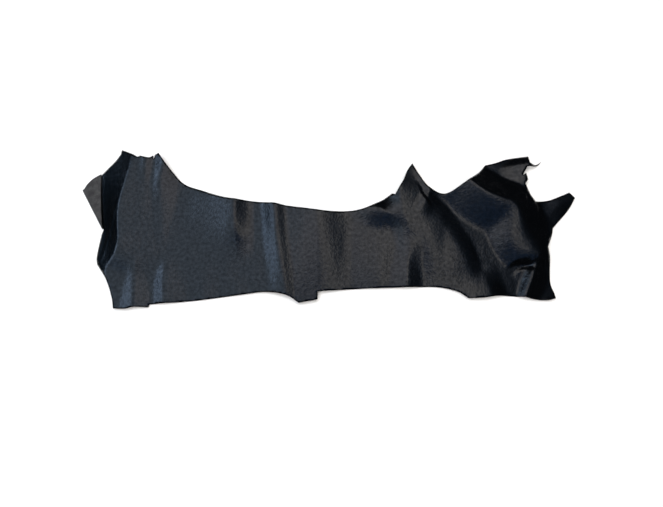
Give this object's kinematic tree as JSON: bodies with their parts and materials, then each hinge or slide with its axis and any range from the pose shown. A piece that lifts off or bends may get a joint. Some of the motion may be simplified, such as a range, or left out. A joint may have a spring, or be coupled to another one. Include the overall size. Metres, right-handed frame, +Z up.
{
  "type": "piece of leather",
  "caption": "Irregular offcut of thin black leather, lying grain side up in soft folds with one corner turned back over itself.",
  "frame": {"origin": "middle of the footprint, on the surface that the piece lies on", "axes": "+X along the piece towards its torn end, +Y across it towards the long hollow edge, +Z up"},
  "size_m": [0.7771, 0.264, 0.0172],
  "materials": {
    "leather": "smooth black grain with a soft gloss, grey suede flesh side"
  },
  "bodies": {
    "root": {"leather": "leather"}
  },
  "joints": []
}
